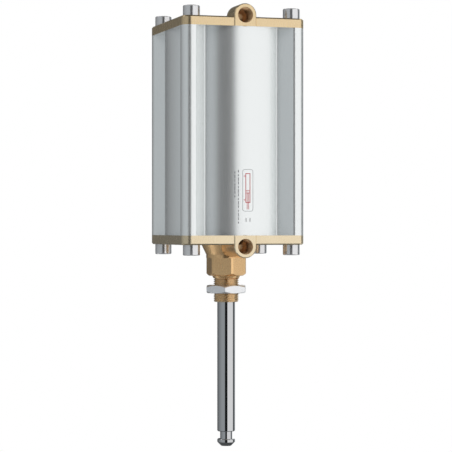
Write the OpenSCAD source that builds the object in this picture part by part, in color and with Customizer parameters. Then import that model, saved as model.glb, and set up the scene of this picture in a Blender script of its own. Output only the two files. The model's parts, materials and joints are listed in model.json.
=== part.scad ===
// Double-acting pneumatic cylinder: square profile barrel, brass covers, threaded neck mounting.
// Origin: on the cylinder's axis, at the shoulder under the neck's hexagon.
// +Z goes up to the rear cover, and the ports face -Y.
// The rod is drawn run out to its full stroke, pointing down.

/* [Barrel] */
// Stroke of the piston rod
stroke = 100; // [40:5:300]
// Bore of the barrel
bore_d = 80; // [60:1:84]
// Wall of the round part of the barrel
barrel_wall = 8.2; // [5:0.1:12]
// Width across the square barrel and covers
body_w = 97.5; // [92:0.5:130]
// Radius of the body's four long corners
corner_r = 5.6; // [3:0.2:9]
// Width of each corner post, across its two slanted walls
post_w = 13.6; // [12:0.2:20]
// Fillet where a post runs into the round barrel
post_fillet_r = 0.8; // [0.4:0.1:1.5]

/* [Covers] */
// Thickness of each brass cover plate
cover_t = 7.2; // [6:0.2:12]
// Chamfer round the outer face of a cover plate
cover_chamfer = 0.6; // [0.3:0.1:1]
// Length of the spigot that centres a cover in the bore
spigot_l = 12; // [11:0.5:16]
// Depth of the air space turned into the spigot
air_space_depth = 8; // [6:0.5:10]
// Wall of the spigot round its air space
spigot_wall = 8; // [7:0.5:10]

/* [Cover screws] */
// Thread diameter of the cover screws
screw_d = 8; // [6:1:10]
// Length of the screw below its head
screw_l = 25; // [20:1:35]
// Distance of each screw from the two faces of its corner
screw_inset = 8.75; // [8:0.25:11]

/* [Ports] */
// Core diameter of the port thread, 1/4 inch pipe
port_d = 11.445; // [8.5:0.001:15]
// Wall of the lug round the port
port_wall = 3; // [2.4:0.1:4.5]
// Distance of the port's axis outside the cover's outer face
port_offset = 1.3; // [0.5:0.1:3]
// Depth of the port thread
port_depth = 13.5; // [10:0.5:16]
// Length of the rear lug from its front face
rear_lug_l = 20; // [19:0.5:26]
// How far a lug's front face stands proud of the plate
lug_proud = 0.9; // [0.5:0.1:2]
// Countersink round the mouth of a port
port_chamfer = 0.3; // [0.2:0.1:1]
// Diameter of the drilling from a port to the chamber
passage_d = 5; // [3:0.5:6]

/* [Neck] */
// Wall between the rod and the outside of the neck thread
neck_wall = 3; // [2.8:0.1:4.5]
// Length from the hexagon's shoulder to the end of the thread
thread_l = 20.5; // [17:0.5:32]
// Height of the hexagon
hex_h = 14; // [10:0.5:20]
// Height from the shoulder to the cover's outer face
neck_h = 24.5; // [20:0.5:34]
// Thickness of the lock nut
nut_t = 6.2; // [5:0.1:8]
// Distance from the shoulder to the lock nut
nut_gap = 7.4; // [3.5:0.1:9]
// Angle of the lock nut on its thread
nut_angle = 10.2; // [0:0.1:60]

/* [Rod] */
// Diameter of the piston rod
rod_d = 14; // [12:0.5:18]
// Length of the rod left outside the neck when it is drawn in
rod_rest = 12.7; // [12.5:0.1:30]
// Diameter of the coupling groove
groove_d = 9.5; // [8:0.1:10]
// Width of the coupling groove
groove_w = 5.9; // [4:0.1:7]
// Height of the coupling button at the rod's end
button_h = 5.5; // [5:0.1:7]
// Chamfer under the coupling button
button_chamfer = 3; // [2:0.1:3.5]

/* [Piston] */
// Length of the two piston halves together
piston_l = 32; // [30:0.5:40]
// Diameter of the rod's stud through the piston
stud_d = 10; // [8:1:10]
// Across flats of the piston nut
piston_nut_af = 17; // [15:0.5:19]

/* [Hidden] */

$fn = 96;
eps = 0.01;        // overlap of faces that would otherwise only touch
over = 1;          // how far a cut runs out past the face it opens in
slip = 0.05;       // radial clearance of sliding and running fits
press = 0.02;      // radial clearance of pieces that are pressed in
stop_gap = 0.2;    // gap between piston and bumper at the end of the stroke

// Bumper rings
bumper_proud = 1.3;
bumper_w = 4;
bumper_seat = 3;   // depth of the bumper's groove
bumper_chamfer = 0.8;

// Radii that follow from the sizes above
bore_r = bore_d / 2;
barrel_r = bore_r + barrel_wall;
spigot_r = bore_r - slip;
air_space_r = spigot_r - spigot_wall;
half_w = body_w / 2;
screw_at = half_w - screw_inset;
screw_hole_r = screw_d / 2 + 0.5;
screw_core_r = screw_d * 0.425;
head_r = screw_d * 0.8125;
head_h = screw_d;
head_round = 0.9;
socket_r = screw_d * 0.375;  // half the width across flats of the screw's socket
socket_rim = 0.5;            // depth of the chamfer at the socket's mouth
screw_tip = 1;
tapped_depth = screw_l - cover_t + 2;
port_r = port_d / 2;
lug_r = port_r + port_wall;
lug_front = -half_w - lug_proud;
rod_r = rod_d / 2;
thread_r = rod_r + neck_wall;
nut_af = 2 * (thread_r + 5);
hex_af = 2 * (thread_r + 4);
neck_r = thread_r + 5.7;
cone_r = neck_r + 3.8;
collar_r = thread_r + 1;
hex_rim = 0.5;                 // from the flats of the hexagon in to the edge of its shoulder
hex_slope = 0.8;               // height of the hexagon's lower chamfer for each mm of radius
nut_bore_r = thread_r - 0.45;  // flank radius of the neck thread
nut_rim = 0.4;                 // from the flats of a nut in to the edge of its face
bush_wall = 1;
wiper_wall = 1.6;
seal_wall = 4;
bush_r = rod_r + bush_wall;
wiper_r = rod_r + wiper_wall;
seal_r = rod_r + seal_wall;
rod_gap = 0.5;       // radial gap between the rod and the neck's plain bore
washer_gap = 0.4;    // radial gap round a washer
bumper_r = (air_space_r + spigot_r) / 2;
piston_r = bore_r - 0.5;

// Heights, from the shoulder of the hexagon
thread_end_z = -thread_l;
front_face_z = neck_h;
barrel_z0 = neck_h + cover_t;
barrel_l = stroke + piston_l + 2 * (spigot_l + bumper_proud + stop_gap);
barrel_z1 = barrel_z0 + barrel_l;
rear_face_z = barrel_z1 + cover_t;
neck_land = 2.6;     // plain turned land between the hexagon and the cone
cone_z0 = hex_h + neck_land;
collar_h = 2;
thread_chamfer = 1;
nut_z1 = -nut_gap;
nut_z0 = nut_z1 - nut_t;
wiper_h = 3.5;
bush_l = 25;
bush_z1 = 18;
bush_z0 = bush_z1 - bush_l;
seal_z0 = bush_z1 + 1;
seal_h = 7;
washer_t = 1.5;
circlip_t = 1;
circlip_z = seal_z0 + seal_h + washer_t + 0.1;
circlip_w = 1.6;
circlip_bite = 0.8;  // depth of the circlip's groove
floor_z = barrel_z0 + spigot_l - air_space_depth;
spigot_lead = 0.8;   // chamfer that leads a spigot into the bore
drill_slope = 0.6;   // height of a drill's point for each mm of radius

// Stations of the rod and piston with the rod run out
piston_z0 = barrel_z0 + spigot_l + bumper_proud + stop_gap;
piston_z1 = piston_z0 + piston_l;
piston_mid_z = piston_z0 + piston_l / 2;
rod_tip_z = thread_end_z - rod_rest - stroke;
button_top_z = rod_tip_z + button_h;
rod_shoulder_z = button_top_z + groove_w;
rod_socket_depth = 5;
stud_z0 = piston_z0 + rod_socket_depth;
piston_web = 14;   // thickness of the piston between the rod's shoulder and the washer
washer_z0 = stud_z0 + piston_web;
piston_washer_t = 2;
piston_nut_z0 = washer_z0 + piston_washer_t;
piston_nut_h = 8;
stud_z1 = piston_nut_z0 + piston_nut_h + 1;
nut_well_r = piston_nut_af / 2 * 1.1547 + 1.6;

// Grooves of the piston
lip_seal_w = 6;
lip_seal_depth = 6;
lip_seal_inset = 3;
lip_seal_play = 0.2;
guide_w = 10;
guide_depth = 2.5;
guide_gap = 2;       // gap where the guide ring is split

// O-ring sections and grooves
cover_ring_d = 2.4;
cover_ring_groove = 2.6;
cover_ring_z = 4.4;  // from the plate to the middle of the groove
cover_ring_play = 0.3;
rod_ring_d = 1.7;
rod_ring_groove = 1.9;
rod_ring_z = piston_z0 + rod_socket_depth / 2;
rod_ring_play = 0.2;

// Square outline with round corners
module body_outline(w) {
    difference() {
        square(w, center = true);
        for (a = [0:90:270])
            rotate(a)
                translate([w / 2 - corner_r, w / 2 - corner_r])
                    difference() {
                        square(corner_r + over);
                        circle(corner_r);
                    }
    }
}

// One diagonal post with the fillets that run it into the round barrel; +X points to the corner
module corner_post_outline() {
    fillet_v = post_w / 2 + post_fillet_r;
    fillet_u = sqrt(pow(barrel_r + post_fillet_r, 2) - pow(fillet_v, 2));
    sweep = 90 - atan2(fillet_v, fillet_u);
    steps = 5;
    arc_r = post_fillet_r + 0.03;  // a hair over, so that both ends of the arc sink in
    sink = 2;                      // how far the corners of the outline lie inside post and barrel
    upper = concat(
        [[fillet_u + post_fillet_r, post_w / 2 - sink]],
        [for (i = [0:steps])
            [
                fillet_u + arc_r * cos(-90 - sweep * i / steps),
                fillet_v + arc_r * sin(-90 - sweep * i / steps)
            ]],
        [[fillet_u - 2 * sink, fillet_v]]
    );
    lower = [for (i = [len(upper) - 1:-1:0]) [upper[i][0], -upper[i][1]]];
    translate([0, -post_w / 2])
        square([half_w * 1.5, post_w]);
    polygon(concat(upper, lower));
}

// Cross-section of the extruded barrel
module barrel_outline() {
    difference() {
        intersection() {
            body_outline(body_w);
            union() {
                circle(barrel_r);
                for (a = [45:90:315])
                    rotate(a)
                        corner_post_outline();
            }
        }
        circle(bore_r);
        for (x = [-1, 1], y = [-1, 1])
            translate([x * screw_at, y * screw_at])
                circle(screw_core_r);
    }
}

// Extruded aluminium tube: a round barrel with a square post in each corner, tapped for the cover screws
module barrel() {
    color("silver")
        difference() {
            translate([0, 0, barrel_z0])
                linear_extrude(barrel_l)
                    barrel_outline();
            for (z = [barrel_z0 - eps, barrel_z1 - tapped_depth])
                screw_places()
                    translate([0, 0, z])
                        cylinder(r = screw_d / 2 + slip, h = tapped_depth + eps);
        }
}

// Repeats its children at the four corner screws
module screw_places() {
    for (x = [-1, 1], y = [-1, 1])
        translate([x * screw_at, y * screw_at, 0])
            children();
}

// Cuts a chamfer round one face of a plate: the face lies at z = 0 and the plate below it
module plate_chamfer(w, c) {
    for (a = [0:90:270])
        rotate(a) {
            translate([w / 2, 0, 0])
                rotate([0, 45, 0])
                    cube([c * sqrt(2), w - 2 * corner_r, c * sqrt(2)], center = true);
            translate([w / 2 - corner_r, w / 2 - corner_r, 0])
                rotate_extrude(angle = 90)
                    polygon([
                        [corner_r - c, 0], [corner_r + c, -c * 2], [corner_r + c, c], [corner_r - c, c]
                    ]);
        }
}

// Plate, spigot, port lug and air drilling of either cover
// The plate's inner face is at z = 0 and the port faces -Y
module cover_blank(lug_l) {
    lug_z = -cover_t - port_offset;
    difference() {
        union() {
            difference() {
                translate([0, 0, -cover_t])
                    linear_extrude(cover_t)
                        body_outline(body_w);
                translate([0, 0, -cover_t])
                    mirror([0, 0, 1])
                        plate_chamfer(body_w, cover_chamfer);
            }
            cylinder(r = spigot_r, h = spigot_l - spigot_lead);
            translate([0, 0, spigot_l - spigot_lead])
                cylinder(r1 = spigot_r, r2 = spigot_r - spigot_lead, h = spigot_lead);
            port_lug(lug_l, lug_z);
        }
        translate([0, 0, spigot_l - air_space_depth])
            cylinder(r = air_space_r, h = air_space_depth + over);
        bumper_groove();
        seal_groove();
        screw_places()
            translate([0, 0, -cover_t - over])
                cylinder(r = screw_hole_r, h = cover_t + 2 * over);
        port_bore(lug_z);
        air_passage(lug_z);
    }
}

// Lug on the front edge of a cover, round outside the plate and straight-sided through it
// lug_l is its length along Y and lug_z the height of its axis; one chamfer runs round its front face
module port_lug(lug_l, lug_z) {
    c = cover_chamfer;
    translate([0, lug_front, lug_z]) {
        rotate([-90, 0, 0])
            rotate_extrude()
                polygon([[0, 0], [lug_r - c, 0], [lug_r, c], [lug_r, lug_l], [0, lug_l]]);
        linear_extrude(-lug_z)
            polygon([
                [-lug_r + c, 0], [lug_r - c, 0], [lug_r, c],
                [lug_r, lug_l], [-lug_r, lug_l], [-lug_r, c]
            ]);
    }
}

// Tapping hole of a port, with its drill point and the chamfer at its mouth
module port_bore(lug_z) {
    translate([0, lug_front, lug_z])
        rotate([-90, 0, 0]) {
            translate([0, 0, -over])
                cylinder(r = port_r, h = port_depth + over);
            translate([0, 0, port_depth - eps])
                cylinder(r1 = port_r, r2 = passage_d / 2, h = (port_r - passage_d / 2) * drill_slope);
            translate([0, 0, -eps])
                cylinder(r1 = port_r + port_chamfer, r2 = port_r, h = port_chamfer);
        }
}

// Slanted drilling from the inner end of the port into the air space
module air_passage(lug_z) {
    from_y = lug_front + port_depth - passage_d / 2;
    to_y = -air_space_r + passage_d;
    to_z = spigot_l - air_space_depth + over;
    rise = to_z - lug_z;
    run = to_y - from_y;
    translate([0, from_y, lug_z])
        rotate([-atan2(run, rise), 0, 0])
            cylinder(r = passage_d / 2, h = norm([rise, run]));
}

// Groove in the end of a spigot for its bumper
module bumper_groove() {
    translate([0, 0, spigot_l - bumper_seat])
        ring(bumper_r - bumper_w / 2, bumper_r + bumper_w / 2, bumper_seat + over);
}

// Groove round a spigot for its O-ring
module seal_groove() {
    translate([0, 0, cover_ring_z - cover_ring_groove / 2 - cover_ring_play])
        ring(spigot_r - cover_ring_groove, spigot_r + over, cover_ring_groove + 2 * cover_ring_play);
}

// Plain ring from its bottom face up
module ring(r_in, r_out, h) {
    difference() {
        cylinder(r = r_out, h = h);
        translate([0, 0, -over])
            cylinder(r = r_in, h = h + 2 * over);
    }
}

// O-ring of section d, its middle circle at z = 0
module o_ring(r_mid, d) {
    rotate_extrude()
        translate([r_mid, 0])
            circle(d / 2);
}

// Rear cover: brass plate with the rear port, whose lug stops a little way in from the edge
module rear_cover() {
    color("goldenrod")
        translate([0, 0, barrel_z1])
            mirror([0, 0, 1])
                cover_blank(rear_lug_l);
}

// Front cover: brass plate, port lug, cone, hexagon and threaded neck in one casting
module front_cover() {
    color("goldenrod")
        difference() {
            union() {
                translate([0, 0, barrel_z0])
                    cover_blank(-lug_front);
                neck();
            }
            rod_passage();
        }
}

// Outside of the neck: cone under the cover, milled hexagon, collar and thread
module neck() {
    cylinder(r = collar_r, h = front_face_z + over);
    translate([0, 0, cone_z0])
        cylinder(r1 = neck_r, r2 = cone_r, h = front_face_z - cone_z0 + eps);
    translate([0, 0, hex_h])
        cylinder(r = neck_r, h = neck_land);
    neck_hexagon();
    neck_thread();
}

// Hexagon with flats to +X and -X, its corners turned to the neck's radius and chamfered at the lower rim
module neck_hexagon() {
    rim = hex_af / 2 - hex_rim;
    intersection() {
        rotate(30)
            cylinder(r = hex_af / 2 / cos(30), h = hex_h + over, $fn = 6);
        rotate_extrude()
            polygon([
                [0, 0], [rim, 0], [neck_r, (neck_r - rim) * hex_slope],
                [neck_r, hex_h], [neck_r - over, hex_h + over], [0, hex_h + over]
            ]);
    }
}

// Thread, drawn at its outer diameter on both sides of the lock nut and at its flank diameter inside it
module neck_thread() {
    in_nut = 0.15;  // how far the flank diameter runs on past each face of the nut
    free_z1 = nut_z0 - in_nut;
    translate([0, 0, -collar_h])
        cylinder(r1 = thread_r, r2 = collar_r, h = collar_h);
    translate([0, 0, thread_end_z + thread_chamfer])
        cylinder(r = thread_r, h = free_z1 - thread_end_z - thread_chamfer);
    translate([0, 0, nut_z1 + in_nut])
        cylinder(r = thread_r, h = -collar_h - nut_z1 - in_nut);
    translate([0, 0, thread_end_z])
        cylinder(r1 = thread_r - thread_chamfer, r2 = thread_r, h = thread_chamfer);
    translate([0, 0, free_z1 - eps])
        cylinder(r = nut_bore_r - slip, h = nut_t + 2 * in_nut + 2 * eps);
}

// Bore through neck and cover: wiper seat, bush seat and the seal housing, which opens to the chamber
module rod_passage() {
    translate([0, 0, thread_end_z - over])
        cylinder(r = wiper_r + press, h = wiper_h + over);
    translate([0, 0, thread_end_z])
        cylinder(r = rod_r + rod_gap, h = neck_h + thread_l);
    translate([0, 0, bush_z0 - press])
        cylinder(r = bush_r + press, h = seal_z0 - bush_z0 + press + eps);
    translate([0, 0, seal_z0])
        cylinder(r = seal_r + press, h = floor_z - seal_z0 + over);
    translate([0, 0, circlip_z])
        cylinder(r = seal_r + circlip_bite, h = circlip_t + 2 * slip);
}

// One socket head cap screw, head up, with its seat at z = 0
module cap_screw() {
    difference() {
        union() {
            rotate_extrude()
                difference() {
                    square([head_r, head_h]);
                    translate([head_r - head_round, head_h - head_round])
                        difference() {
                            square(head_round + over);
                            circle(head_round);
                        }
                }
            translate([0, 0, -screw_l + screw_tip])
                cylinder(r = screw_d / 2, h = screw_l - screw_tip + eps);
            translate([0, 0, -screw_l])
                cylinder(r1 = screw_d / 2 - screw_tip, r2 = screw_d / 2, h = screw_tip);
        }
        translate([0, 0, head_h / 2])
            cylinder(r = socket_r / cos(30), h = head_h, $fn = 6);
        translate([0, 0, head_h - socket_rim])
            cylinder(r1 = socket_r, r2 = socket_r + 2 * socket_rim, h = 2 * socket_rim);
    }
}

// Four M8 cap screws through the rear cover into the posts
module rear_cover_screws() {
    color("gainsboro")
        screw_places()
            translate([0, 0, rear_face_z])
                cap_screw();
}

// Four M8 cap screws through the front cover into the posts
module front_cover_screws() {
    color("gainsboro")
        screw_places()
            translate([0, 0, front_face_z])
                mirror([0, 0, 1])
                    cap_screw();
}

// O-ring between the rear spigot and the bore
module rear_cover_seal() {
    color("black")
        translate([0, 0, barrel_z1 - cover_ring_z])
            o_ring(spigot_r - cover_ring_d / 2, cover_ring_d);
}

// O-ring between the front spigot and the bore
module front_cover_seal() {
    color("black")
        translate([0, 0, barrel_z0 + cover_ring_z])
            o_ring(spigot_r - cover_ring_d / 2, cover_ring_d);
}

// Rubber ring that cushions the piston, held in the end of a spigot, with its face at the top
module bumper() {
    r_in = bumper_r - bumper_w / 2 + press;
    r_out = bumper_r + bumper_w / 2 - press;
    h = bumper_seat + bumper_proud;
    c = bumper_chamfer;
    rotate_extrude()
        polygon([[r_in, 0], [r_out, 0], [r_out, h - c], [r_out - c, h], [r_in + c, h], [r_in, h - c]]);
}

module rear_bumper() {
    color("dimgray")
        translate([0, 0, barrel_z1 - spigot_l + bumper_seat])
            mirror([0, 0, 1])
                bumper();
}

module front_bumper() {
    color("dimgray")
        translate([0, 0, barrel_z0 + spigot_l - bumper_seat])
            bumper();
}

// Plain bronze bush that guides the rod in the neck
module rod_bush() {
    color("peru")
        translate([0, 0, bush_z0])
            ring(rod_r + slip, bush_r, bush_l);
}

// Wiper ring at the mouth of the neck, its lip turned in to the rod
module rod_wiper() {
    lip_w = 0.6;
    lip_h = 1;
    color("black")
        translate([0, 0, thread_end_z])
            rotate_extrude()
                polygon([
                    [rod_r + slip, 0], [rod_r + lip_w, 0],
                    [rod_r + 1.5 * lip_w, lip_h], [wiper_r, lip_h],
                    [wiper_r, wiper_h], [rod_r + lip_w, wiper_h],
                    [rod_r + lip_w, lip_h + lip_w], [rod_r + slip, lip_h]
                ]);
}

// Lip seal round the rod, with its open side to the chamber
module rod_seal() {
    color("black")
        translate([0, 0, seal_z0])
            lip_seal(rod_r + slip, seal_r, seal_h - 2 * lip_seal_play);
}

// U-shaped seal from r_in to r_out, open at the top, with both lips leaning outwards
module lip_seal(r_in, r_out, h) {
    mid = (r_in + r_out) / 2;
    heel = 0.3;            // how far the back is drawn in from the walls
    lip = 0.7;             // how far the lips' edges lie off the walls
    root_h = h * 0.45;     // height of the valley's bottom
    lip_h = h * 0.8;       // height at which the lips leave the walls
    rotate_extrude()
        polygon([
            [r_in + heel, 0], [r_out - heel, 0], [r_out, root_h], [r_out, lip_h], [r_out - lip, h],
            [mid, root_h], [r_in + lip, h], [r_in, lip_h], [r_in, root_h]
        ]);
}

// Washer that holds the rod seal in its housing
module seal_washer() {
    color("gray")
        translate([0, 0, seal_z0 + seal_h])
            ring(rod_r + washer_gap, seal_r - slip, washer_t);
}

// Open spring ring in its groove above the washer
module seal_circlip() {
    gap = 5;
    color("dimgray")
        translate([0, 0, circlip_z + slip])
            difference() {
                ring(seal_r - circlip_w, seal_r + circlip_bite - 2 * slip, circlip_t);
                translate([0, -gap / 2, -over])
                    cube([seal_r + 2 * over, gap, circlip_t + 2 * over]);
            }
}

// Hexagon of width af and height h, with both faces turned to a 30 degree chamfer at the corners
module nut_blank(af, h) {
    corner = af / 2 / cos(30);
    rim = af / 2 - nut_rim;
    outer = corner + 0.5;
    lift = (outer - rim) * tan(30);
    intersection() {
        cylinder(r = corner, h = h, $fn = 6);
        rotate_extrude()
            polygon([[0, 0], [rim, 0], [outer, lift], [outer, h - lift], [rim, h], [0, h]]);
    }
}

// Thin hexagon lock nut on the neck thread, countersunk at both ends of its bore
module lock_nut() {
    sink_r = thread_r + 0.3;
    sink_h = 0.7;
    color("whitesmoke")
        translate([0, 0, nut_z0])
            difference() {
                rotate(nut_angle)
                    nut_blank(nut_af, nut_t);
                translate([0, 0, -over])
                    cylinder(r = nut_bore_r, h = nut_t + 2 * over);
                translate([0, 0, -eps])
                    cylinder(r1 = sink_r, r2 = nut_bore_r, h = sink_h);
                translate([0, 0, nut_t - sink_h + eps])
                    cylinder(r1 = nut_bore_r, r2 = sink_r, h = sink_h);
            }
}

// Chromed rod with a grooved button for a snap coupling, and a threaded stud through the piston
module piston_rod() {
    edge = 0.5;            // chamfer on the rod's turned edges
    stud_tip = 1;
    tip_r = rod_r - button_chamfer;
    color("lightgray") {
        rotate_extrude()
            polygon([
                [0, rod_tip_z], [tip_r, rod_tip_z], [rod_r, rod_tip_z + button_chamfer],
                [rod_r, button_top_z - edge], [rod_r - edge, button_top_z],
                [groove_d / 2, button_top_z], [groove_d / 2, rod_shoulder_z],
                [rod_r - edge, rod_shoulder_z], [rod_r, rod_shoulder_z + edge],
                [rod_r, stud_z0 - edge], [rod_r - edge, stud_z0],
                [stud_d / 2, stud_z0], [stud_d / 2, stud_z1 - stud_tip],
                [stud_d / 2 - stud_tip, stud_z1], [0, stud_z1]
            ]);
    }
}

// Outside of the whole piston, with its seal and guide grooves cut
module piston_blank() {
    c = 1;
    difference() {
        translate([0, 0, piston_z0])
            rotate_extrude()
                polygon([
                    [0, 0], [piston_r - c, 0], [piston_r, c],
                    [piston_r, piston_l - c], [piston_r - c, piston_l], [0, piston_l]
                ]);
        for (z = [piston_z0 + lip_seal_inset, piston_z1 - lip_seal_inset - lip_seal_w])
            translate([0, 0, z])
                ring(piston_r - lip_seal_depth, piston_r + over, lip_seal_w);
        translate([0, 0, piston_mid_z - guide_w / 2])
            ring(piston_r - guide_depth, piston_r + over, guide_w);
    }
}

// Bores of the piston: socket for the rod, hole for its stud, groove for the O-ring, well for the nut
module piston_bores() {
    translate([0, 0, piston_z0 - over])
        cylinder(r = rod_r + press, h = rod_socket_depth + over);
    translate([0, 0, piston_z0])
        cylinder(r = stud_d / 2 + press, h = piston_l);
    translate([0, 0, rod_ring_z - rod_ring_groove / 2 - rod_ring_play])
        cylinder(r = rod_r + rod_ring_groove, h = rod_ring_groove + 2 * rod_ring_play);
    translate([0, 0, washer_z0])
        cylinder(r = nut_well_r, h = piston_l);
}

// Front half of the aluminium piston, which seats on the rod's shoulder
module front_piston_half() {
    color("lightsteelblue")
        difference() {
            piston_blank();
            piston_bores();
            translate([-bore_r, -bore_r, piston_mid_z])
                cube([2 * bore_r, 2 * bore_r, piston_l]);
        }
}

// Rear half of the aluminium piston, with the well for the nut
module rear_piston_half() {
    color("lightsteelblue")
        difference() {
            piston_blank();
            piston_bores();
            translate([-bore_r, -bore_r, piston_mid_z - piston_l])
                cube([2 * bore_r, 2 * bore_r, piston_l]);
        }
}

// O-ring that seals the rod in the piston
module rod_o_ring() {
    color("black")
        translate([0, 0, rod_ring_z])
            o_ring(rod_r + slip + rod_ring_d / 2, rod_ring_d);
}

// Washer under the piston nut, at the bottom of its well
module piston_washer() {
    color("gray")
        translate([0, 0, washer_z0])
            ring(stud_d / 2 + washer_gap, nut_well_r - washer_gap, piston_washer_t);
}

// Hexagon nut that clamps the piston halves on the rod
module piston_nut() {
    color("gray")
        translate([0, 0, piston_nut_z0])
            difference() {
                nut_blank(piston_nut_af, piston_nut_h);
                translate([0, 0, -over])
                    cylinder(r = stud_d / 2 + press, h = piston_nut_h + 2 * over);
            }
}

// Lip seal of the piston, open downwards to the front chamber
module front_piston_seal() {
    color("black")
        translate([0, 0, piston_z0 + lip_seal_inset + lip_seal_w - lip_seal_play])
            mirror([0, 0, 1])
                lip_seal(piston_r - lip_seal_depth + slip, bore_r - slip, lip_seal_w - 2 * lip_seal_play);
}

// Lip seal of the piston, open upwards to the rear chamber
module rear_piston_seal() {
    color("black")
        translate([0, 0, piston_z1 - lip_seal_inset - lip_seal_w + lip_seal_play])
            lip_seal(piston_r - lip_seal_depth + slip, bore_r - slip, lip_seal_w - 2 * lip_seal_play);
}

// Split plastic band that carries the piston in the bore
module piston_guide_ring() {
    split_angle = 40;
    color("ivory")
        translate([0, 0, piston_mid_z - guide_w / 2 + slip])
            difference() {
                ring(piston_r - guide_depth + slip, bore_r - slip, guide_w - 2 * slip);
                rotate(split_angle)
                    translate([0, -guide_gap / 2, -over])
                        cube([bore_r + over, guide_gap, guide_w + 2 * over]);
            }
}

barrel();
rear_cover();
front_cover();
rear_cover_screws();
front_cover_screws();
rear_cover_seal();
front_cover_seal();
rear_bumper();
front_bumper();
rod_bush();
rod_wiper();
rod_seal();
seal_washer();
seal_circlip();
lock_nut();
piston_rod();
front_piston_half();
rear_piston_half();
rod_o_ring();
piston_washer();
piston_nut();
front_piston_seal();
rear_piston_seal();
piston_guide_ring();
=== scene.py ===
import json
import math

import bpy
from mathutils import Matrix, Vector

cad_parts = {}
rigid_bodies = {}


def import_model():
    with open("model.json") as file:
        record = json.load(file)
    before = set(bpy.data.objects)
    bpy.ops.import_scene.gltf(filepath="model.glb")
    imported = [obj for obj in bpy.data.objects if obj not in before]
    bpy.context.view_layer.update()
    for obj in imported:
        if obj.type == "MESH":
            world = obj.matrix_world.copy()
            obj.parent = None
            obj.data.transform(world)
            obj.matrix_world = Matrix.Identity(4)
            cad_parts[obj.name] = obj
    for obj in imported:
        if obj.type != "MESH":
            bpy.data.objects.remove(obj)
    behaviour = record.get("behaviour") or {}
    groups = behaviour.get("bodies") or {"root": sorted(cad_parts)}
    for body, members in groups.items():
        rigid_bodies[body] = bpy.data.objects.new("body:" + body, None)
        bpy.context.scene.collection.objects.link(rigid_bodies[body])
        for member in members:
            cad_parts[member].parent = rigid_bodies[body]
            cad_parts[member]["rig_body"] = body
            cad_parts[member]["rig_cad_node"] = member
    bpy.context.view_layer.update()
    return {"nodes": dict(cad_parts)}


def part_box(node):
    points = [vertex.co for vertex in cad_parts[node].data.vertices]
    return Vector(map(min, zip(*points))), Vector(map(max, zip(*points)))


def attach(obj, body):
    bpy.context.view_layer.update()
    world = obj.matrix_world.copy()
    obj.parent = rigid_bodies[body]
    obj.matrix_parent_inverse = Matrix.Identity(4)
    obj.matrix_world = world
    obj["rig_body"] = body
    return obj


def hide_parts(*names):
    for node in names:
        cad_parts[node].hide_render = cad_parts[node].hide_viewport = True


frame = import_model()


# --- Barrel -------------------------------------------------------------------------------------
# The barrel is an aluminium extrusion, a round tube with a square post in each corner. It is sawn
# to length, bored and honed inside, and clear anodised to a soft satin that keeps faint drawing
# lines along its length.


class Shade:
    """An output of a shader node, which takes part in sums and passes into other nodes."""

    def __init__(self, tree, socket):
        self.tree = tree
        self.socket = socket

    def node(self, kind, settings=None, inputs=None, out=0):
        """Adds a node of this kind and gives back the output with this number or name."""
        made = self.tree.nodes.new(kind)
        for name, value in (settings or {}).items():
            setattr(made, name, value)
        for name, value in (inputs or {}).items():
            if isinstance(value, Shade):
                self.tree.links.new(value.socket, made.inputs[name])
            else:
                made.inputs[name].default_value = value
        return None if out is None else Shade(self.tree, made.outputs[out])

    def maths(self, operation, first, second):
        return self.node("ShaderNodeMath", {"operation": operation}, {0: first, 1: second})

    def __add__(self, other):
        return self.maths("ADD", self, other)

    __radd__ = __add__

    def __sub__(self, other):
        return self.maths("SUBTRACT", self, other)

    def __rsub__(self, other):
        return self.maths("SUBTRACT", other, self)

    def __mul__(self, other):
        return self.maths("MULTIPLY", self, other)

    __rmul__ = __mul__

    def clamped(self):
        return self.node("ShaderNodeClamp", None, {"Value": self})


class Finish:
    """A surface finish: one material with a Principled shader, and what its nodes start from."""

    def __init__(self, name, colour, roughness, metallic=1.0):
        self.material = bpy.data.materials.new(name)
        self.material.use_nodes = True
        self.material.diffuse_color = (*colour, 1)
        self.tree = self.material.node_tree
        self.shader = self.tree.nodes["Principled BSDF"]
        self.shader.inputs["Base Color"].default_value = (*colour, 1)
        self.shader.inputs["Roughness"].default_value = roughness
        self.shader.inputs["Metallic"].default_value = metallic
        self.start = Shade(self.tree, None)
        self.place = self.start.node("ShaderNodeTexCoord", out="Object")

    def grain(self, scale, stretch=(1, 1, 1), detail=3.0):
        """A noise between 0 and 1, stretched along the axes."""
        mapped = self.start.node(
            "ShaderNodeMapping", None, {"Vector": self.place, "Scale": stretch}
        )
        return self.start.node(
            "ShaderNodeTexNoise", None, {"Vector": mapped, "Scale": scale, "Detail": detail}
        )

    def blend(self, amount, first, second, way="MIX"):
        """A colour from first, at 0, to second laid over it in this way, at 1."""
        ends = [end if isinstance(end, Shade) else (*end, 1) for end in (first, second)]
        return self.start.node(
            "ShaderNodeMix",
            {"data_type": "RGBA", "blend_type": way},
            {0: amount, 6: ends[0], 7: ends[1]},
            out=2,
        )

    def set(self, name, value):
        """Lets a pattern drive one of the shader's sockets."""
        self.tree.links.new(value.socket, self.shader.inputs[name])

    def relief(self, height, distance):
        """Raises the surface by a height pattern, distance metres at 1."""
        bump = self.start.node(
            "ShaderNodeBump", None, {"Height": height, "Distance": distance, "Strength": 1.0}
        )
        self.set("Normal", bump)


def even_shading(piece):
    """Lets a piece's broad faces, not its narrow edges, set the direction of its smooth shading."""
    bpy.ops.object.select_all(action="DESELECT")
    bpy.context.view_layer.objects.active = piece
    piece.select_set(True)
    even = piece.modifiers.new("Even shading", "WEIGHTED_NORMAL")
    even.keep_sharp = True
    bpy.ops.object.modifier_apply(modifier=even.name)


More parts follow.
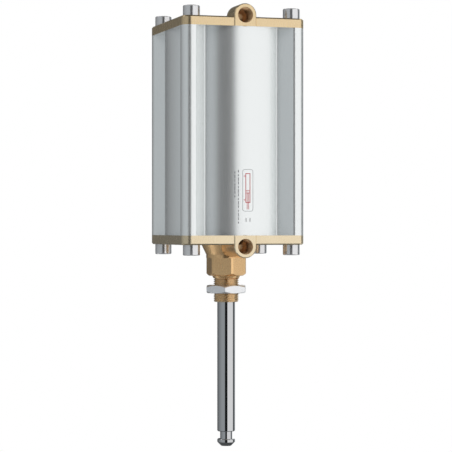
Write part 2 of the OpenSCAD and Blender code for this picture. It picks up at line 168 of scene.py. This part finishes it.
def finished_copy(node, finish, soften=0.0, smooth=30, shape=None, weld=0.000002):
    """A copy of a CAD node, its triangles merged to faces, its edges soft and its curves smooth."""
    source = frame["nodes"][node]
    bpy.ops.object.select_all(action="DESELECT")
    piece = source.copy()
    piece.data = source.data.copy()
    piece.name = node + "_finished"
    piece.parent = None
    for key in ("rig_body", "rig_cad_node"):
        if key in piece:
            del piece[key]
    bpy.context.scene.collection.objects.link(piece)
    bpy.context.view_layer.objects.active = piece
    piece.select_set(True)
    if piece.data.has_custom_normals:
        bpy.ops.mesh.customdata_custom_splitnormals_clear()
    bpy.ops.object.mode_set(mode="EDIT")
    bpy.ops.mesh.select_all(action="SELECT")
    bpy.ops.mesh.remove_doubles(threshold=weld)
    bpy.ops.mesh.normals_make_consistent(inside=False)
    bpy.ops.mesh.dissolve_limited(angle_limit=math.radians(0.2))
    bpy.ops.object.mode_set(mode="OBJECT")
    if shape:
        shape(piece)
    if soften:
        bevel = piece.modifiers.new("Soft edges", "BEVEL")
        bevel.width = soften
        bevel.segments = 2
        bevel.limit_method = "ANGLE"
        bevel.angle_limit = math.radians(24)
        bevel.use_clamp_overlap = True
        bpy.ops.object.modifier_apply(modifier=bevel.name)
    bpy.ops.object.shade_smooth_by_angle(angle=math.radians(smooth))
    if soften and shape is None:
        even_shading(piece)
    piece.data.materials.clear()
    piece.data.materials.append(finish.material)
    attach(piece, source["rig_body"])
    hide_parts(node)
    return piece


half_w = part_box("barrel")[1].x
plain_corner_r = 0.0056
corner_r = 0.0068
post_w = 0.0136
post_edge = half_w - post_w / 2 * math.sqrt(2)
post_edge_setback = 0.00145
post_edge_slack = 0.0001
long_edge = 0.01
same_place = 0.00002


def round_corner(vertex, inset, new_inset):
    """Moves a vertex of the square outline, inset from it, to the outline with rounder corners."""
    plain_flat = half_w - plain_corner_r
    flat = half_w - corner_r
    start = Vector([max(-plain_flat, min(plain_flat, value)) for value in vertex.co.xy])
    out = vertex.co.xy - start
    if abs(out.length - plain_corner_r + inset) > same_place:
        return False
    out.normalize()
    if min(abs(vertex.co.x), abs(vertex.co.y)) > plain_flat - same_place:
        start = Vector([math.copysign(flat, value) for value in start])
        vertex.co.xy = start + out * (corner_r - new_inset)
    else:
        vertex.co.xy += out * (inset - new_inset)
    return True


def shape_barrel(piece):
    """Rounds the barrel's four corners and the long edges where its posts slant inward."""
    bpy.ops.object.mode_set(mode="EDIT")
    bpy.ops.mesh.select_all(action="DESELECT")
    bpy.ops.mesh.select_mode(type="EDGE")
    bpy.ops.object.mode_set(mode="OBJECT")
    for edge in piece.data.edges:
        ends = [piece.data.vertices[number].co for number in edge.vertices]
        places = [sorted((abs(end.x), abs(end.y))) for end in ends]
        off_edge = max(abs(low - post_edge) + abs(high - half_w) for low, high in places)
        edge.select = off_edge < post_edge_slack and abs(ends[0].z - ends[1].z) > long_edge
    bpy.ops.object.mode_set(mode="EDIT")
    bpy.ops.mesh.bevel(offset=post_edge_setback, segments=6, profile=0.5, affect="EDGES")
    bpy.ops.mesh.select_mode(type="VERT")
    bpy.ops.object.mode_set(mode="OBJECT")
    for vertex in piece.data.vertices:
        round_corner(vertex, 0, 0)


anodised = Finish("Clear anodised aluminium", (0.885, 0.91, 0.91), 0.2, metallic=0.8)
drawing_lines = anodised.grain(900, stretch=(1, 1, 0.012))
anodised.set("Roughness", 0.17 + drawing_lines * 0.04)
anodised.shader.inputs["Anisotropic"].default_value = 0.83
anodised.relief(drawing_lines, 0.000002)

barrel = finished_copy("barrel", anodised, soften=0.00015, shape=shape_barrel)
even_shading(barrel)


# --- Printed mark -------------------------------------------------------------------------------
# A plain mark is screen printed on the front of the barrel in a film of ink too thin to feel: a
# grey frame round the circuit symbol of a double-acting cylinder in red, with bare grey dashes
# beside it and two short bars below.

barrel_r = 0.0482
ink_t = 0.00003
ink_line = 0.0003
strip_w = 0.001
strips_each_side = 8


def start_print(name):
    """Starts an empty flat drawing, in edit mode: across is +X and up is +Z."""
    bpy.ops.object.select_all(action="DESELECT")
    bpy.ops.mesh.primitive_plane_add(size=ink_line)
    bpy.context.object.name = name
    bpy.ops.object.mode_set(mode="EDIT")
    bpy.ops.mesh.delete(type="VERT")


def bar(across, up, width, height):
    """Adds a flat bar of ink round its middle."""
    bpy.ops.mesh.select_all(action="DESELECT")
    bpy.ops.mesh.primitive_plane_add(size=1, location=(across, 0, up), rotation=(math.pi / 2, 0, 0))
    bpy.ops.transform.resize(value=(width, 1, height))


def outline(across, up, width, height, line, corner):
    """Adds a flat frame of ink round its middle, with corners this far rounded."""
    bar(across, up, width, height)
    bpy.ops.mesh.bevel(offset=corner, segments=4, affect="VERTICES")
    bpy.ops.mesh.inset(thickness=line)
    bpy.ops.mesh.delete(type="FACE")


def finish_print(ink):
    """Cuts the flat drawing into strips, lays it round the barrel and gives it the ink's thickness."""
    for strip in range(-strips_each_side, strips_each_side + 1):
        bpy.ops.mesh.select_all(action="SELECT")
        bpy.ops.mesh.bisect(
            plane_co=(strip * strip_w, 0, 0), plane_no=(1, 0, 0), threshold=0.000001
        )
    bpy.ops.object.mode_set(mode="OBJECT")
    print_piece = bpy.context.object
    skin_r = barrel_r + ink_t / 2
    for vertex in print_piece.data.vertices:
        turn = vertex.co.x / barrel_r
        vertex.co = (skin_r * math.sin(turn), -skin_r * math.cos(turn), vertex.co.z)
    film = print_piece.modifiers.new("Ink film", "SOLIDIFY")
    film.thickness = ink_t
    film.offset = 1
    bpy.ops.object.modifier_apply(modifier=film.name)
    print_piece.data.materials.append(ink.material)
    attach(print_piece, "cylinder")


grey_ink = Finish("Grey screen ink", (0.22, 0.23, 0.24), 0.5, metallic=0.0)
grey_ink.set("Roughness", 0.42 + grey_ink.grain(1500) * 0.15)
red_ink = Finish("Red screen ink", (0.55, 0.10, 0.11), 0.5, metallic=0.0)
red_ink.set("Roughness", 0.42 + red_ink.grain(1500) * 0.15)

frame_middle = 0.0023
frame_w = 0.0086
frame_low = 0.050
frame_high = 0.082
frame_corner_r = 0.0018
dash_columns = ((-0.0052, 0.0415, 14), (-0.0079, 0.0615, 7))
dash_pitch = 0.003
dash_w = 0.0007
dash_l = 0.0014
dash_growth = 0.0006
short_bars = (0.0008, 0.0040)
short_bar_up = 0.0435
short_bar_w = 0.0006
short_bar_l = 0.0028
start_print("printed_frame")
outline(
    frame_middle,
    (frame_low + frame_high) / 2,
    frame_w,
    frame_high - frame_low,
    line=ink_line,
    corner=frame_corner_r,
)
for across, lowest, count in dash_columns:
    for number in range(count):
        bar(across, lowest + number * dash_pitch, dash_w, dash_l + dash_growth * (number % 3))
for across in short_bars:
    bar(across, short_bar_up, short_bar_w, short_bar_l)
finish_print(grey_ink)

symbol_line = 0.0006
tube_low = 0.0565
tube_high = 0.0790
tube_w = 0.0040
tube_corner_r = 0.0001
drawn_piston_up = 0.0640
drawn_piston_t = 0.0016
drawn_piston_w = 0.0030
drawn_rod_low = frame_low + 0.0015
drawn_rod_l = drawn_piston_up - drawn_rod_low
drawn_rod_line = 0.0005
drawn_rod_side = 0.0006
drawn_port_inset = 0.0022
drawn_port_middle = frame_middle - 0.0027
drawn_port_l = 0.0014
start_print("printed_symbol")
outline(
    frame_middle,
    (tube_low + tube_high) / 2,
    tube_w,
    tube_high - tube_low,
    line=symbol_line,
    corner=tube_corner_r,
)
for up in (drawn_piston_up, drawn_piston_up + drawn_piston_t):
    bar(frame_middle, up, drawn_piston_w, symbol_line)
for side in (-drawn_rod_side, drawn_rod_side):
    bar(frame_middle + side, drawn_rod_low + drawn_rod_l / 2, drawn_rod_line, drawn_rod_l)
for up in (tube_low + drawn_port_inset, tube_high - drawn_port_inset):
    bar(drawn_port_middle, up, drawn_port_l, symbol_line)
finish_print(red_ink)


# --- Cover seals and bumpers --------------------------------------------------------------------
# Each cover's spigot carries a nitrile O-ring that seals the bore, and a moulded polyurethane ring
# pressed into its end, which takes the blow of the piston.

nitrile = Finish("Black nitrile rubber", (0.018, 0.018, 0.019), 0.55, metallic=0.0)
nitrile.set("Roughness", 0.48 + nitrile.grain(2500) * 0.15)
bumper_rubber = Finish("Dark polyurethane", (0.045, 0.046, 0.05), 0.45, metallic=0.0)
bumper_rubber.set("Roughness", 0.4 + bumper_rubber.grain(1800) * 0.12)


def paint(node, finish):
    """Gives a CAD node its finish and leaves its mesh alone."""
    mesh = frame["nodes"][node].data
    mesh.materials.clear()
    mesh.materials.append(finish.material)


for ring in ("rear_cover_seal", "front_cover_seal"):
    paint(ring, nitrile)
for ring in ("rear_bumper", "front_bumper"):
    paint(ring, bumper_rubber)


# --- Covers -------------------------------------------------------------------------------------
# Both covers are brass castings, machined all over: a square plate with a port lug, and on the
# front cover a cone, a milled hexagon and the threaded neck. The brass is left bare, so it has
# dulled a little and keeps fine tool marks.

barrel_ends = [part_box("barrel")[0].z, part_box("barrel")[1].z]
plate_t = 0.0072
front_face_z = barrel_ends[0] - plate_t
rear_face_z = barrel_ends[1] + plate_t
lug_front_t = 0.0005
neck_front_y = lug_front_t - half_w
cover_smooth = 22
brass = Finish("Machined brass", (0.84, 0.68, 0.45), 0.27, metallic=0.9)
patina = brass.grain(45, detail=4.0)
tool_marks = brass.grain(1400, stretch=(1, 1, 0.05))


def coordinate(finish, axis):
    """One coordinate, X, Y or Z, of a finish's place on the object, in metres."""
    return finish.start.node("ShaderNodeSeparateXYZ", None, {"Vector": finish.place}, out=axis)


def past(value, start, width=0.0002):
    """0 where a value is under start and 1 where it is over, with a soft step of this width."""
    return ((value - start) * (1 / width) + 0.5).clamped()


# Painted shade: the neck end is painted redder than the plates and the lugs' front faces, and the
# rear plate darker than the front plate, for how light falls on what is one and the same brass.
below_plate = past(front_face_z - coordinate(brass, "Z"), 0)
in_neck = below_plate * past(coordinate(brass, "Y"), neck_front_y)
in_rear = past(coordinate(brass, "Z"), (barrel_ends[0] + barrel_ends[1]) / 2)
plates = brass.blend(in_rear, (0.865, 0.742, 0.53), (0.825, 0.655, 0.41))
brass_tones_with_painted_shade = brass.blend(in_neck, plates, (0.98, 0.66, 0.345))
dulling = brass.blend(patina, (1.0, 1.0, 1.0), (0.93, 0.89, 0.84))
brass.set("Base Color", brass.blend(1.0, brass_tones_with_painted_shade, dulling, way="MULTIPLY"))
brass.set("Roughness", 0.21 + tool_marks * 0.06 + patina * 0.05)
brass.relief(tool_marks, 0.0000006)

plain_chamfer = 0.0006
cover_chamfer = 0.0010
cover_soften = 0.00012
cover_weld = 0.000015


def shape_cover(piece):
    """Rounds a cover's corners as the barrel's and widens the chamfer round its outer face."""
    rear = piece.name.startswith("rear")
    face = rear_face_z if rear else front_face_z
    inward = -1 if rear else 1
    for vertex in piece.data.vertices:
        if round_corner(vertex, 0, 0):
            if abs(vertex.co.z - face - inward * plain_chamfer) < same_place:
                vertex.co.z = face + inward * cover_chamfer
        elif abs(vertex.co.z - face) < same_place:
            round_corner(vertex, plain_chamfer, cover_chamfer)


rear_cover, front_cover = [
    finished_copy(
        cover,
        brass,
        soften=cover_soften,
        smooth=cover_smooth,
        shape=shape_cover,
        weld=cover_weld,
    )
    for cover in ("rear_cover", "front_cover")
]


crest_flat_share = 0.125
root_flat_share = 0.167
steps_per_turn = 72


def threaded_rod(name, crest, root, pitch, length):
    """A solid threaded rod along +Z from the origin, between its crest and root radii."""
    crest_flat = pitch * crest_flat_share
    root_flat = pitch * root_flat_share
    flank = (pitch - crest_flat - root_flat) / 2
    profile = [
        (crest, 0),
        (crest, crest_flat),
        (root, crest_flat + flank),
        (root, crest_flat + flank + root_flat),
        (crest, pitch),
    ]
    bpy.ops.object.select_all(action="DESELECT")
    bpy.ops.mesh.primitive_plane_add(size=crest)
    rod = bpy.context.object
    rod.name = name
    bpy.ops.object.mode_set(mode="EDIT")
    bpy.ops.mesh.merge(type="CENTER")
    here = Vector((0, 0, 0))
    for number, (radius, height) in enumerate(profile):
        there = Vector((radius, 0, height - 2 * pitch))
        if number:
            bpy.ops.mesh.extrude_region_move(TRANSFORM_OT_translate={"value": there - here})
        else:
            bpy.ops.transform.translate(value=there - here)
        here = there
    bpy.ops.object.mode_set(mode="OBJECT")
    helix = rod.modifiers.new("Helix", "SCREW")
    helix.axis = "Z"
    helix.screw_offset = pitch
    helix.iterations = math.ceil(length / pitch) + 3
    helix.steps = steps_per_turn
    helix.render_steps = steps_per_turn
    bpy.ops.object.modifier_apply(modifier=helix.name)
    bpy.ops.object.mode_set(mode="EDIT")
    bpy.ops.mesh.select_all(action="SELECT")
    bpy.ops.mesh.remove_doubles(threshold=pitch / 100)
    for height, outer, inner in ((0, False, True), (length, True, False)):
        bpy.ops.mesh.select_all(action="SELECT")
        bpy.ops.mesh.bisect(
            plane_co=(0, 0, height),
            plane_no=(0, 0, 1),
            use_fill=True,
            clear_inner=inner,
            clear_outer=outer,
            threshold=pitch / 10000,
        )
    bpy.ops.mesh.select_all(action="SELECT")
    bpy.ops.mesh.remove_doubles(threshold=pitch / 1000)
    bpy.ops.mesh.normals_make_consistent(inside=False)
    bpy.ops.object.mode_set(mode="OBJECT")
    return rod


cut_weld = 0.0000002


def cut_away(piece, tool):
    """Cuts a solid tool out of a piece and does away with the tool."""
    cut = piece.modifiers.new("Cut", "BOOLEAN")
    cut.operation = "DIFFERENCE"
    cut.solver = "EXACT"
    cut.material_mode = "TRANSFER"
    cut.object = tool
    bpy.ops.object.select_all(action="DESELECT")
    bpy.context.view_layer.objects.active = piece
    piece.select_set(True)
    bpy.ops.object.modifier_apply(modifier=cut.name)
    bpy.ops.object.mode_set(mode="EDIT")
    bpy.ops.mesh.select_all(action="SELECT")
    bpy.ops.mesh.remove_doubles(threshold=cut_weld)
    bpy.ops.mesh.dissolve_degenerate(threshold=cut_weld)
    bpy.ops.object.mode_set(mode="OBJECT")
    bpy.ops.object.shade_smooth_by_angle(angle=math.radians(cover_smooth))
    bpy.data.objects.remove(tool)


neck_thread_r = 0.00996
neck_pitch = 0.0015
neck_root_r = neck_thread_r - 0.613 * neck_pitch
neck_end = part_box("front_cover")[0].z
collar_end = -0.002
die_r = 0.0125
die_l = collar_end - neck_end + neck_pitch
thread_faces_r = 0.97 * neck_root_r

neck_form = threaded_rod("neck_form", neck_thread_r, neck_root_r, neck_pitch, 2 * die_l)
for vertex in neck_form.data.vertices:
    vertex.co.z += neck_end - 2 * neck_pitch
bpy.ops.object.select_all(action="DESELECT")
bpy.ops.mesh.primitive_cylinder_add(
    vertices=64, radius=die_r, depth=die_l, location=(0, 0, collar_end - die_l / 2)
)
die = bpy.context.object
bpy.ops.object.transform_apply(location=True, rotation=False, scale=False)
cut_away(die, neck_form)
cut_away(front_cover, die)
die_cut = Finish("Die-cut brass", (0.86, 0.67, 0.43), 0.3, metallic=0.9)
die_cut.set("Roughness", 0.26 + die_cut.grain(900) * 0.1)
front_cover.data.materials.append(die_cut.material)
for face in front_cover.data.polygons:
    aside = math.hypot(face.center.x, face.center.y)
    if face.center.z < collar_end and aside > thread_faces_r:
        face.material_index = len(front_cover.data.materials) - 1

rear_port_z = 0.1992
front_port_z = 0.0232
port_thread_r = 0.00572
port_pitch = 0.001337
port_root_r = port_thread_r + 0.64 * port_pitch
port_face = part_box("front_cover")[0].y
port_thread_l = 0.0125
port_countersink = 0.0002
port_run_in = 0.6
port_slack = 0.0001
port_hole_l = 0.0135
port_deepest = -0.030
reamer_l = 0.0008

# The ports' cut threads are duller than the plates, which is real, and painted darker and redder than
# them, which is painted shade inside the holes.
cut_brass_painted_darker = Finish("Cut brass thread", (0.76, 0.50, 0.27), 0.35, metallic=0.75)
cut_brass_painted_darker.set("Roughness", 0.28 + cut_brass_painted_darker.grain(900) * 0.12)


def tap_port(cover, height):
    """Cuts a cover's pipe thread, shallow at the mouth, and reams the step at the hole's bottom."""
    tap = threaded_rod("tap", port_root_r, port_thread_r - port_slack, port_pitch, port_thread_l)
    tap.data.materials.append(cut_brass_painted_darker.material)
    for vertex in tap.data.vertices:
        depth = vertex.co.z - port_slack
        radius = math.hypot(vertex.co.x, vertex.co.y)
        limit = port_thread_r + port_countersink + depth * port_run_in
        if limit < radius:
            vertex.co.x *= limit / radius
            vertex.co.y *= limit / radius
        vertex.co = (vertex.co.x, port_face + depth, height - vertex.co.y)
    cut_away(cover, tap)
    bored_r = port_thread_r + port_slack
    bpy.ops.object.select_all(action="DESELECT")
    bpy.ops.mesh.primitive_cylinder_add(
        vertices=96,
        radius=bored_r,
        depth=reamer_l,
        location=(0, port_face + port_hole_l, height),
        rotation=(math.pi / 2, 0, 0),
    )
    reamer = bpy.context.object
    bpy.ops.object.transform_apply(location=True, rotation=True, scale=False)
    reamer.data.materials.append(cut_brass_painted_darker.material)
    cut_away(cover, reamer)
    bored = cover.data.materials.find(cut_brass_painted_darker.material.name)
    for face in cover.data.polygons:
        aside = math.hypot(face.center.x, face.center.z - height)
        if aside < bored_r and port_face + port_slack < face.center.y < port_deepest:
            face.material_index = bored


tap_port(rear_cover, rear_port_z)
tap_port(front_cover, front_port_z)

lap_slack = 0.00005
facing_along = 0.99
# The sealing faces are lapped smooth, and painted a neutral grey instead of brass so that their
# reflection in the barrel, under the plates' overhang, shows no brass: a painted reflection.
lapped_face_painted_grey = Finish("Lapped sealing face painted grey", (0.86, 0.84, 0.80), 0.1)
lapped_face_painted_grey.set("Roughness", 0.08 + lapped_face_painted_grey.grain(500) * 0.05)
for cover, seat in zip((front_cover, rear_cover), barrel_ends):
    cover.data.materials.append(lapped_face_painted_grey.material)
    for face in cover.data.polygons:
        if abs(face.center.z - seat) < lap_slack and abs(face.normal.z) > facing_along:
            face.material_index = len(cover.data.materials) - 1
    even_shading(cover)


# --- Cover screws -------------------------------------------------------------------------------
# Four hexagon socket cap screws hold each cover, run into threads cut in the barrel's posts. They
# are bright plated steel with smooth round heads.

plated = Finish("Bright plated steel", (0.78, 0.78, 0.79), 0.16, metallic=0.85)
plated.set("Roughness", 0.13 + plated.grain(700) * 0.08)
for screws in ("rear_cover_screws", "front_cover_screws"):
    finished_copy(screws, plated, soften=0.0002)


# --- Neck pieces --------------------------------------------------------------------------------
# The rod runs in a sintered bronze bush pressed into the neck. A wiper keeps dirt out at the mouth,
# and behind the bush a lip seal is held by a washer and a spring ring.

bronze = Finish("Sintered bronze", (0.48, 0.30, 0.15), 0.45)
bronze.set("Roughness", 0.38 + bronze.grain(3000) * 0.2)
plain_steel = Finish("Plain steel", (0.45, 0.45, 0.46), 0.35)
plain_steel.set("Roughness", 0.3 + plain_steel.grain(900) * 0.12)

finished_copy("rod_bush", bronze)
finished_copy("rod_wiper", nitrile)
paint("rod_seal", nitrile)
paint("seal_washer", plain_steel)
paint("seal_circlip", plain_steel)


# --- Piston rod ---------------------------------------------------------------------------------
# The rod is ground steel with hard chrome, turned at its end to a groove and a button that a snap
# coupling grips. Its stud goes through the piston.

chrome = Finish("Hard chrome", (0.615, 0.62, 0.63), 0.06)
chrome.set("Roughness", 0.04 + chrome.grain(600, stretch=(1, 1, 3)) * 0.015)
finished_copy("piston_rod", chrome, soften=0.00015)


# --- Piston -------------------------------------------------------------------------------------
# The piston is two turned aluminium halves clamped between the rod's shoulder and a nut. It carries
# two lip seals, back to back, and a plastic guide band over its middle.

turned = Finish("Turned aluminium", (0.66, 0.67, 0.69), 0.3)
turned.set("Roughness", 0.25 + turned.grain(1500, stretch=(1, 1, 6)) * 0.14)
acetal = Finish("Natural acetal", (0.66, 0.61, 0.50), 0.42, metallic=0.0)
acetal.set("Roughness", 0.38 + acetal.grain(1200) * 0.1)

for half in ("front_piston_half", "rear_piston_half"):
    paint(half, turned)
for seal in ("front_piston_seal", "rear_piston_seal", "rod_o_ring"):
    paint(seal, nitrile)
for part in ("piston_washer", "piston_nut"):
    paint(part, plain_steel)
paint("piston_guide_ring", acetal)


# --- Lock nut -----------------------------------------------------------------------------------
# A thin hexagon nut runs on the neck thread and clamps the cylinder to its mounting plate. It is
# steel, chamfered on both faces and zinc plated.

zinc = Finish("Zinc plate", (0.86, 0.87, 0.88), 0.3, metallic=0.8)
spangle = zinc.grain(260, detail=2.0)
zinc.set("Roughness", 0.24 + spangle * 0.14)
zinc.set("Base Color", zinc.blend(spangle, (0.84, 0.855, 0.88), (0.92, 0.925, 0.935)))
finished_copy("lock_nut", zinc, soften=0.0002)


# --- Studio -------------------------------------------------------------------------------------
# The camera stands level with the barrel's lower end, a little to the left of square on. The room
# is white, with grey card round the left and the back, a dark gap where the camera stands and
# another on the right.

view_angle = math.radians(17.28)
camera_distance = 1.455
camera_height = 0.0389
camera_aside = -0.00015
ahead = Vector((math.sin(view_angle), math.cos(view_angle), 0))
rightward = Vector((math.cos(view_angle), -math.sin(view_angle), 0))

lens = bpy.data.cameras.new("Camera")
lens.sensor_width = 36
lens.lens = 147.8
camera = bpy.data.objects.new("Camera", lens)
camera.location = -camera_distance * ahead + camera_aside * rightward + Vector((0, 0, camera_height))
camera.rotation_euler = (math.pi / 2, 0, -view_angle)
bpy.context.scene.collection.objects.link(camera)
bpy.context.scene.camera = camera

card_r = 1.25
card_low = -0.9
card_high = 1.3
card_step = 6
card_tint = (0.94, 1.0, 1.04)


def as_card(panel, name, level):
    """Makes a panel a card of an even grey, 1 being white, that only reflections show."""
    panel.name = name
    paper = bpy.data.materials.new(name)
    paper.use_nodes = True
    paper.node_tree.nodes.clear()
    start = Shade(paper.node_tree, None)
    grey = (*[level * share for share in card_tint], 1)
    glow = start.node("ShaderNodeEmission", None, {"Color": grey})
    start.node("ShaderNodeOutputMaterial", None, {"Surface": glow}, out=None)
    paper.cycles.emission_sampling = "NONE"
    panel.data.materials.append(paper)
    panel.visible_camera = False
    panel.visible_diffuse = False
    panel.visible_transmission = False
    panel.visible_shadow = False


def upright_card(name, first, last, level):
    """A curved card between two angles, in degrees round the object from the camera to its right."""
    steps = max(2, math.ceil((last - first) / card_step))
    bpy.ops.object.select_all(action="DESELECT")
    bpy.ops.mesh.primitive_grid_add(x_subdivisions=steps, y_subdivisions=1, size=1)
    panel = bpy.context.object
    for corner in panel.data.vertices:
        angle = math.radians(first + (last - first) * (corner.co.x + 0.5))
        height = card_low + (card_high - card_low) * (corner.co.y + 0.5)
        across = card_r * (math.sin(angle) * rightward - math.cos(angle) * ahead)
        corner.co = across + Vector((0, 0, height))
    as_card(panel, name, level)


def level_card(name, radius, height, level):
    """A level round card above or below the object."""
    bpy.ops.object.select_all(action="DESELECT")
    bpy.ops.mesh.primitive_circle_add(
        vertices=48, radius=radius, fill_type="NGON", location=(0, 0, height)
    )
    as_card(bpy.context.object, name, level)


for number, (first, last, level) in enumerate(
    [
        (-180, -140, 0.10),
        (-140, -125, 0.16),
        (-125, -110, 0.22),
        (-110, -95, 0.28),
        (-95, -75, 0.33),
        (-75, -60, 0.38),
        (-60, -19, 0.41),
        (-19, -15, 0.25),
        (-15, 15, 0.012),
        (15, 17.5, 0.37),
        (96, 99, 0.45),
        (99, 120, 0.09),
        (120, 145, 0.30),
        (145, 165, 0.45),
    ]
):
    upright_card("Card %d" % (number + 1), first, last, level)
level_card("Ceiling card", 0.6, 0.95, 0.03)
level_card("Table card", 0.36, -0.305, 0.10)

# The floor is a pale round table top that fades into the white room at its rim and can be seen
# through from below. Metal reflects the table card instead of it.
floor_z = -0.31
floor_r = 1.15
floor_white = 0.93
floor_glow = 0.35
fade_from = 0.45
fade_to = 1.10
bpy.ops.object.select_all(action="DESELECT")
bpy.ops.mesh.primitive_circle_add(
    vertices=96, radius=floor_r, fill_type="NGON", location=(0, 0, floor_z)
)
floor = bpy.context.object
floor.name = "Floor"
bpy.ops.object.transform_apply(location=True, rotation=False, scale=False)
pale_floor = bpy.data.materials.new("Pale floor")
pale_floor.use_nodes = True
pale_floor.node_tree.nodes.clear()
start = Shade(pale_floor.node_tree, None)
spot = start.node("ShaderNodeTexCoord", out="Object")
out_r = start.node("ShaderNodeVectorMath", {"operation": "LENGTH"}, {0: spot}, out="Value")
fade = ((out_r - fade_from) * (1 / (fade_to - fade_from))).clamped()
matt = start.node("ShaderNodeBsdfDiffuse", None, {"Color": (*[floor_white] * 3, 1)})
glow = start.node("ShaderNodeEmission", None, {"Color": (1, 1, 1, 1)})
share = floor_glow + fade * (1 - floor_glow)
pale = start.node("ShaderNodeMixShader", None, {0: share, 1: matt, 2: glow})
from_below = start.node("ShaderNodeNewGeometry", out="Backfacing")
clear = start.node("ShaderNodeBsdfTransparent")
surface = start.node("ShaderNodeMixShader", None, {0: from_below, 1: pale, 2: clear})
start.node("ShaderNodeOutputMaterial", None, {"Surface": surface}, out=None)
pale_floor.cycles.emission_sampling = "NONE"
floor.data.materials.append(pale_floor)
floor.visible_glossy = False

# A soft lamp over the camera's left shoulder gives a faint shadow.
lamp_back = 1.0
lamp_left = 0.6
lamp_up = 1.0
soft_lamp = bpy.data.lights.new("Soft lamp", "AREA")
soft_lamp.shape = "DISK"
soft_lamp.size = 0.9
soft_lamp.energy = 7.0
lamp = bpy.data.objects.new("Soft lamp", soft_lamp)
lamp.location = -lamp_back * ahead - lamp_left * rightward + Vector((0, 0, lamp_up))
lamp.rotation_euler = (-lamp.location).to_track_quat("-Z", "Y").to_euler()
lamp.visible_glossy = False
bpy.context.scene.collection.objects.link(lamp)

# The room's white shows in full, and lights matt surfaces a little less than white.
matt_dimming = 0.36
room = bpy.data.worlds.new("Room")
bpy.context.scene.world = room
room.use_nodes = True
room.cycles.sampling_method = "NONE"
air = room.node_tree.nodes["Background"]
air.inputs["Color"].default_value = (1, 1, 1, 1)
matt_rays = Shade(room.node_tree, None).node("ShaderNodeLightPath", out="Is Diffuse Ray")
room.node_tree.links.new((1.0 - matt_rays * matt_dimming).socket, air.inputs["Strength"])

bpy.context.scene.view_settings.view_transform = "Standard"

bpy.context.view_layer.update()
